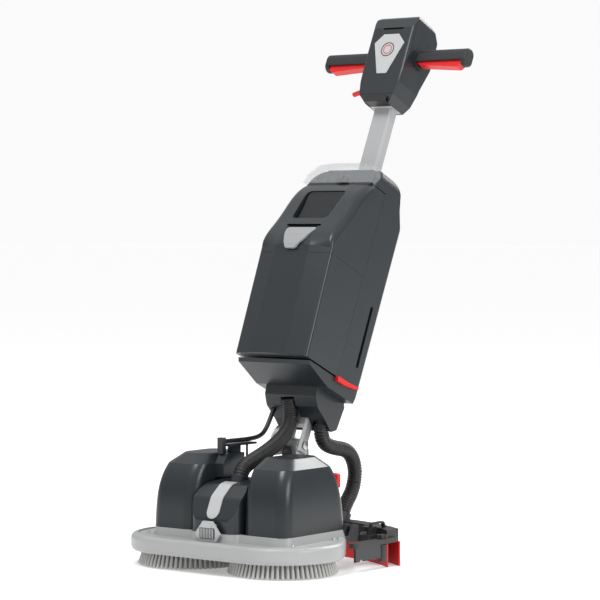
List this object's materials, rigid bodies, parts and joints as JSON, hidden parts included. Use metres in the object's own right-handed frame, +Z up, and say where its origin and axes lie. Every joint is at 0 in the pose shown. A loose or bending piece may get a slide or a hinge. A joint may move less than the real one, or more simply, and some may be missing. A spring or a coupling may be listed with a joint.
{
  "type": "wet dry floor scrubber",
  "caption": "Upright battery scrubber-dryer: twin disc brushes under a low deck, folding column with tanks and hoses, curved squeegee and a two-handed grip.",
  "frame": {"origin": "centre of the footprint on the floor, under the whole machine's bounding box", "axes": "+Z up, -Y is the machine's front (brush deck), +Y is the user's side, +X is the user's right seen from behind the grips"},
  "size_m": [0.51, 0.7871, 1.196],
  "materials": {
    "body_plastic": "dark slate-grey plastic, satin",
    "tank_plastic": "dark grey plastic, satin, a little lighter",
    "deck_plastic": "light grey moulded plastic",
    "cover_plastic": "dark grey moulded cover",
    "black_plastic": "black textured plastic",
    "red_plastic": "bright red plastic",
    "silver_plastic": "silver-grey plastic",
    "bristle": "pale grey nylon bristles",
    "column_metal": "anodised extrusion",
    "steel": "turned and plated steel",
    "dark_metal": "black painted casting",
    "hose": "black ribbed hose",
    "tube": "black water tube",
    "blade_rubber": "red rubber",
    "grip_rubber": "black soft grip",
    "clear_plastic": "clear lid",
    "smoked_plastic": "smoked window",
    "panel_face": "black glossy panel",
    "battery_case": "black battery case"
  },
  "bodies": {
    "deck": {"deck_shell": "deck_plastic", "motor_plate": "steel", "brush_motor_left": "dark_metal", "brush_motor_right": "dark_metal", "motor_cover_left": "cover_plastic", "motor_cover_right": "cover_plastic", "centre_cover": "cover_plastic", "centre_strip": "silver_plastic", "front_badge": "silver_plastic", "valve_housing": "cover_plastic", "tube_support": "cover_plastic", "pivot_tower": "dark_metal", "tilt_pin": "steel", "squeegee_mounts": "dark_metal", "front_hose_lower": "hose", "rear_hose_middle": "hose", "water_tube_lower": "tube"},
    "brush_left": {"brush_disc_left": "black_plastic", "bristles_left": "bristle"},
    "brush_right": {"brush_disc_right": "black_plastic", "bristles_right": "bristle"},
    "knuckle": {"knuckle_block": "column_metal", "pitch_pin": "steel", "lock_quadrant": "steel"},
    "column": {"column_fork": "column_metal", "column_tube": "column_metal", "rear_housing": "body_plastic", "battery": "battery_case", "vacuum_motor": "dark_metal", "recovery_tank": "tank_plastic", "clean_tank": "tank_plastic", "tank_cover": "tank_plastic", "tank_window": "smoked_plastic", "control_panel": "panel_face", "head_front": "body_plastic", "head_rear": "body_plastic", "head_plate": "silver_plastic", "head_collar": "silver_plastic", "grip_left": "grip_rubber", "grip_right": "grip_rubber", "front_hose_upper": "hose", "rear_hose_top": "hose", "water_tube_upper": "tube"},
    "fan": {"vacuum_fan": "dark_metal"},
    "tank_latch": {"tank_latch": "silver_plastic"},
    "side_latch": {"side_latch": "red_plastic"},
    "clear_lid": {"clear_lid": "clear_plastic"},
    "speed_knob": {"speed_knob": "black_plastic"},
    "trigger_left": {"trigger_left": "red_plastic"},
    "trigger_right": {"trigger_right": "red_plastic"},
    "flow_lever": {"flow_lever": "red_plastic"},
    "squeegee": {"squeegee_bar": "black_plastic", "squeegee_blades": "blade_rubber", "splash_guards": "black_plastic", "rear_hose_base": "hose"},
    "roller_left": {"guide_roller_left": "black_plastic"},
    "roller_right": {"guide_roller_right": "black_plastic"},
    "clamp_left": {"clamp_knob_left": "black_plastic"},
    "clamp_right": {"clamp_knob_right": "black_plastic"},
    "lift_lever": {"lift_lever": "red_plastic"}
  },
  "joints": [
    {"name": "brush_right_spin", "type": "hinge", "parent": "deck", "child": "brush_right", "pos_m": [0.123, -0.268, 0.04], "axis": [0, 0, 1], "continuous": true},
    {"name": "brush_left_spin", "type": "hinge", "parent": "deck", "child": "brush_left", "pos_m": [-0.123, -0.268, 0.04], "axis": [0, 0, 1], "continuous": true},
    {"name": "side_tilt", "type": "hinge", "parent": "deck", "child": "knuckle", "pos_m": [0, -0.067, 0.232], "axis": [0, 1, 0], "range_deg": [-12, 12], "deforming": ["front_hose_lower", "rear_hose_middle", "water_tube_lower"]},
    {"name": "column_pitch", "type": "hinge", "parent": "knuckle", "child": "column", "pos_m": [0, -0.067, 0.246], "axis": [-1, 0, 0], "range_deg": [-24.5, 40.5], "deforming": ["front_hose_upper", "rear_hose_top", "water_tube_upper"]},
    {"name": "fan_spin", "type": "hinge", "parent": "column", "child": "fan", "pos_m": [-0.056, 0.13438, 0.69271], "axis": [0, 0.4147, 0.91], "continuous": true},
    {"name": "tank_latch_swing", "type": "hinge", "parent": "column", "child": "tank_latch", "pos_m": [0, -0.03725, 0.71158], "axis": [-1, 0, 0], "range_deg": [0, 25]},
    {"name": "side_latch_turn", "type": "hinge", "parent": "column", "child": "side_latch", "pos_m": [0.0975, -0.03947, 0.3884], "axis": [1, 0, 0], "range_deg": [0, 30]},
    {"name": "lid_hinge", "type": "hinge", "parent": "column", "child": "clear_lid", "pos_m": [0, 0.15803, 0.84348], "axis": [-1, 0, 0], "range_deg": [0, 95]},
    {"name": "speed_knob_turn", "type": "hinge", "parent": "column", "child": "speed_knob", "pos_m": [0, 0.1077, 0.81633], "axis": [0, -0.616, 0.7877], "range_deg": [-135, 135]},
    {"name": "trigger_right_squeeze", "type": "hinge", "parent": "column", "child": "trigger_right", "pos_m": [0.071, 0.31246, 1.0907], "axis": [0, -0.91, 0.4147], "range_deg": [0, 4], "stiffness_Nm_per_rad": 1.5, "springref_deg": -4.58},
    {"name": "trigger_left_squeeze", "type": "hinge", "parent": "column", "child": "trigger_left", "pos_m": [-0.071, 0.31246, 1.0907], "axis": [0, 0.91, -0.4147], "range_deg": [0, 4], "stiffness_Nm_per_rad": 1.5, "springref_deg": -4.58},
    {"name": "flow_lever_turn", "type": "hinge", "parent": "column", "child": "flow_lever", "pos_m": [-0.05, 0.25827, 1.02967], "axis": [0, 0.91, -0.4147], "range_deg": [-15, 15]},
    {"name": "lift_lever_turn", "type": "hinge", "parent": "deck", "child": "lift_lever", "pos_m": [0.125, -0.092, 0.092], "axis": [-1, 0, 0], "range_deg": [0, 25]},
    {"name": "squeegee_lift", "type": "hinge", "parent": "deck", "child": "squeegee", "pos_m": [0, -0.096, 0.08], "axis": [1, 0, 0], "range_deg": [0, 6], "deforming": ["rear_hose_base"]},
    {"name": "roller_left_spin", "type": "hinge", "parent": "squeegee", "child": "roller_left", "pos_m": [-0.243, -0.081, 0.04], "axis": [0, 0, 1], "continuous": true},
    {"name": "clamp_left_turn", "type": "hinge", "parent": "squeegee", "child": "clamp_left", "pos_m": [-0.19, -0.054, 0.075], "axis": [0, 0, 1], "continuous": true},
    {"name": "roller_right_spin", "type": "hinge", "parent": "squeegee", "child": "roller_right", "pos_m": [0.243, -0.081, 0.04], "axis": [0, 0, 1], "continuous": true},
    {"name": "clamp_right_turn", "type": "hinge", "parent": "squeegee", "child": "clamp_right", "pos_m": [0.19, -0.054, 0.075], "axis": [0, 0, 1], "continuous": true}
  ],
  "couplings": [
    {"joint": "brush_left_spin", "follows": "brush_right_spin", "ratio": -1},
    {"joint": "squeegee_lift", "follows": "lift_lever_turn", "ratio": 0.24}
  ]
}
